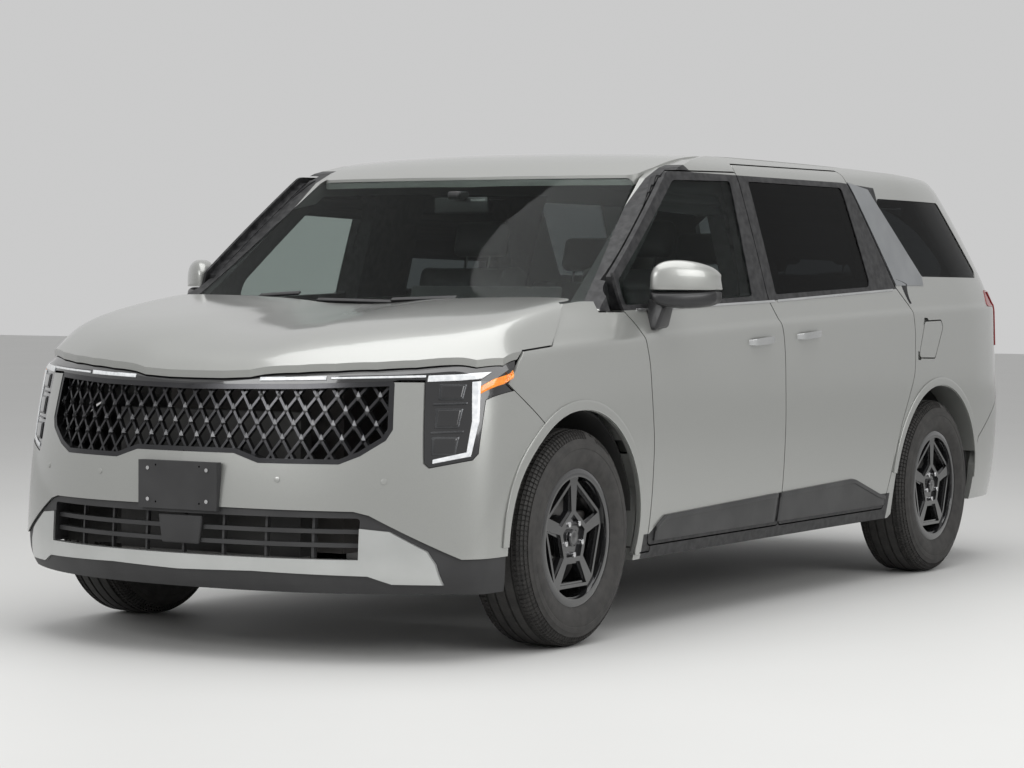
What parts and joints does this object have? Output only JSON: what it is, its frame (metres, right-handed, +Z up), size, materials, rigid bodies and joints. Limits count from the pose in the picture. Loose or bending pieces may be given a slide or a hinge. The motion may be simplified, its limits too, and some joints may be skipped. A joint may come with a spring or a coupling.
{
  "type": "minivan",
  "caption": "Seven-seat style passenger minivan with hinged front doors, bonnet, tailgate and fuel flap, steered front wheels and an open cabin.",
  "frame": {"origin": "on the ground, under the middle of the car's box", "axes": "+Z up, nose towards -Y, the car's left side at +X"},
  "size_m": [2.31, 5.1489, 1.7392],
  "materials": {
    "paint": "gloss",
    "glass": "tinted",
    "lamp_lens": "gloss",
    "tail_lens": "gloss",
    "silver_trim": "satin",
    "dark_chrome": "satin",
    "garnish": "satin",
    "black_plastic": "matte",
    "underbody": "matte",
    "steel": "satin",
    "cast_iron": "rough",
    "aluminium": "satin",
    "tank_plastic": "matte",
    "dash_plastic": "matte",
    "steering_leather": "satin",
    "seat_leather": "satin",
    "wheel_black": "gloss",
    "tyre": "matte"
  },
  "bodies": {
    "body": {"body_side_left": "paint", "body_side_right": "paint", "fender_left": "paint", "fender_right": "paint", "roof_panel": "paint", "windscreen": "glass", "front_bumper": "paint", "headlamps": "lamp_lens", "front_valance": "silver_trim", "lower_grille": "black_plastic", "grille": "dark_chrome", "plate_bracket": "black_plastic", "sliding_door_left": "paint", "sliding_door_right": "paint", "side_glass": "glass", "rear_bumper": "paint", "tail_lamps": "tail_lens", "pillar_garnish": "garnish", "floor_pan": "underbody", "cowl_and_wipers": "black_plastic", "engine": "aluminium", "radiator": "aluminium", "front_subframe": "steel", "dashboard": "dash_plastic", "front_seats": "seat_leather", "rear_seats": "seat_leather", "fuel_tank": "tank_plastic", "exhaust": "steel", "rear_axle": "steel"},
    "front_door_left": {"front_door_left": "paint", "front_door_glass_left": "glass", "mirror_left": "black_plastic"},
    "front_door_right": {"front_door_right": "paint", "front_door_glass_right": "glass", "mirror_right": "black_plastic"},
    "bonnet": {"bonnet": "paint"},
    "tailgate": {"tailgate": "paint", "tailgate_glass": "glass"},
    "fuel_flap": {"fuel_flap": "paint"},
    "steering_wheel": {"steering_wheel": "steering_leather"},
    "knuckle_left": {"knuckle_left": "cast_iron"},
    "knuckle_right": {"knuckle_right": "cast_iron"},
    "wheel_front_left": {"tyre_front_left": "tyre", "rim_front_left": "wheel_black"},
    "wheel_front_right": {"tyre_front_right": "tyre", "rim_front_right": "wheel_black"},
    "wheel_rear_left": {"tyre_rear_left": "tyre", "rim_rear_left": "wheel_black"},
    "wheel_rear_right": {"tyre_rear_right": "tyre", "rim_rear_right": "wheel_black"}
  },
  "joints": [
    {"name": "front_door_left_hinge", "type": "hinge", "parent": "body", "child": "front_door_left", "pos_m": [0.954, -1.258, 0.7], "axis": [0, 0, -1], "range_deg": [0, 68]},
    {"name": "front_door_right_hinge", "type": "hinge", "parent": "body", "child": "front_door_right", "pos_m": [-0.954, -1.258, 0.7], "axis": [0, 0, 1], "range_deg": [0, 68]},
    {"name": "bonnet_hinge", "type": "hinge", "parent": "body", "child": "bonnet", "pos_m": [0.762, -1.45, 1.108], "axis": [-1, 0, 0], "range_deg": [0, 50]},
    {"name": "tailgate_hinge", "type": "hinge", "parent": "body", "child": "tailgate", "pos_m": [0.4, 2.022, 1.66333], "axis": [1, 0, 0], "range_deg": [0, 80]},
    {"name": "fuel_flap_hinge", "type": "hinge", "parent": "body", "child": "fuel_flap", "pos_m": [0.97388, 1.2706, 0.9941], "axis": [0, -0.3765, -0.9264], "range_deg": [0, 80]},
    {"name": "steering_left", "type": "hinge", "parent": "body", "child": "knuckle_left", "pos_m": [0.825, -1.6425, 0.28], "axis": [0, 0, 1], "range_deg": [-35, 35]},
    {"name": "steering_right", "type": "hinge", "parent": "body", "child": "knuckle_right", "pos_m": [-0.825, -1.6425, 0.28], "axis": [0, 0, 1], "range_deg": [-35, 35]},
    {"name": "steering_wheel_turn", "type": "hinge", "parent": "body", "child": "steering_wheel", "pos_m": [0.38, -0.88, 1.01], "axis": [0, 0.8829, 0.4695], "range_deg": [-540, 540]},
    {"name": "wheel_front_left_spin", "type": "hinge", "parent": "knuckle_left", "child": "wheel_front_left", "pos_m": [0.87, -1.6425, 0.3685], "axis": [1, 0, 0], "continuous": true},
    {"name": "wheel_front_right_spin", "type": "hinge", "parent": "knuckle_right", "child": "wheel_front_right", "pos_m": [-0.87, -1.6425, 0.3685], "axis": [1, 0, 0], "continuous": true},
    {"name": "wheel_rear_left_spin", "type": "hinge", "parent": "body", "child": "wheel_rear_left", "pos_m": [0.87, 1.4475, 0.3685], "axis": [1, 0, 0], "continuous": true},
    {"name": "wheel_rear_right_spin", "type": "hinge", "parent": "body", "child": "wheel_rear_right", "pos_m": [-0.87, 1.4475, 0.3685], "axis": [1, 0, 0], "continuous": true}
  ],
  "couplings": [
    {"joint": "steering_right", "follows": "steering_left", "ratio": 1},
    {"joint": "steering_wheel_turn", "follows": "steering_left", "ratio": 15.429}
  ]
}
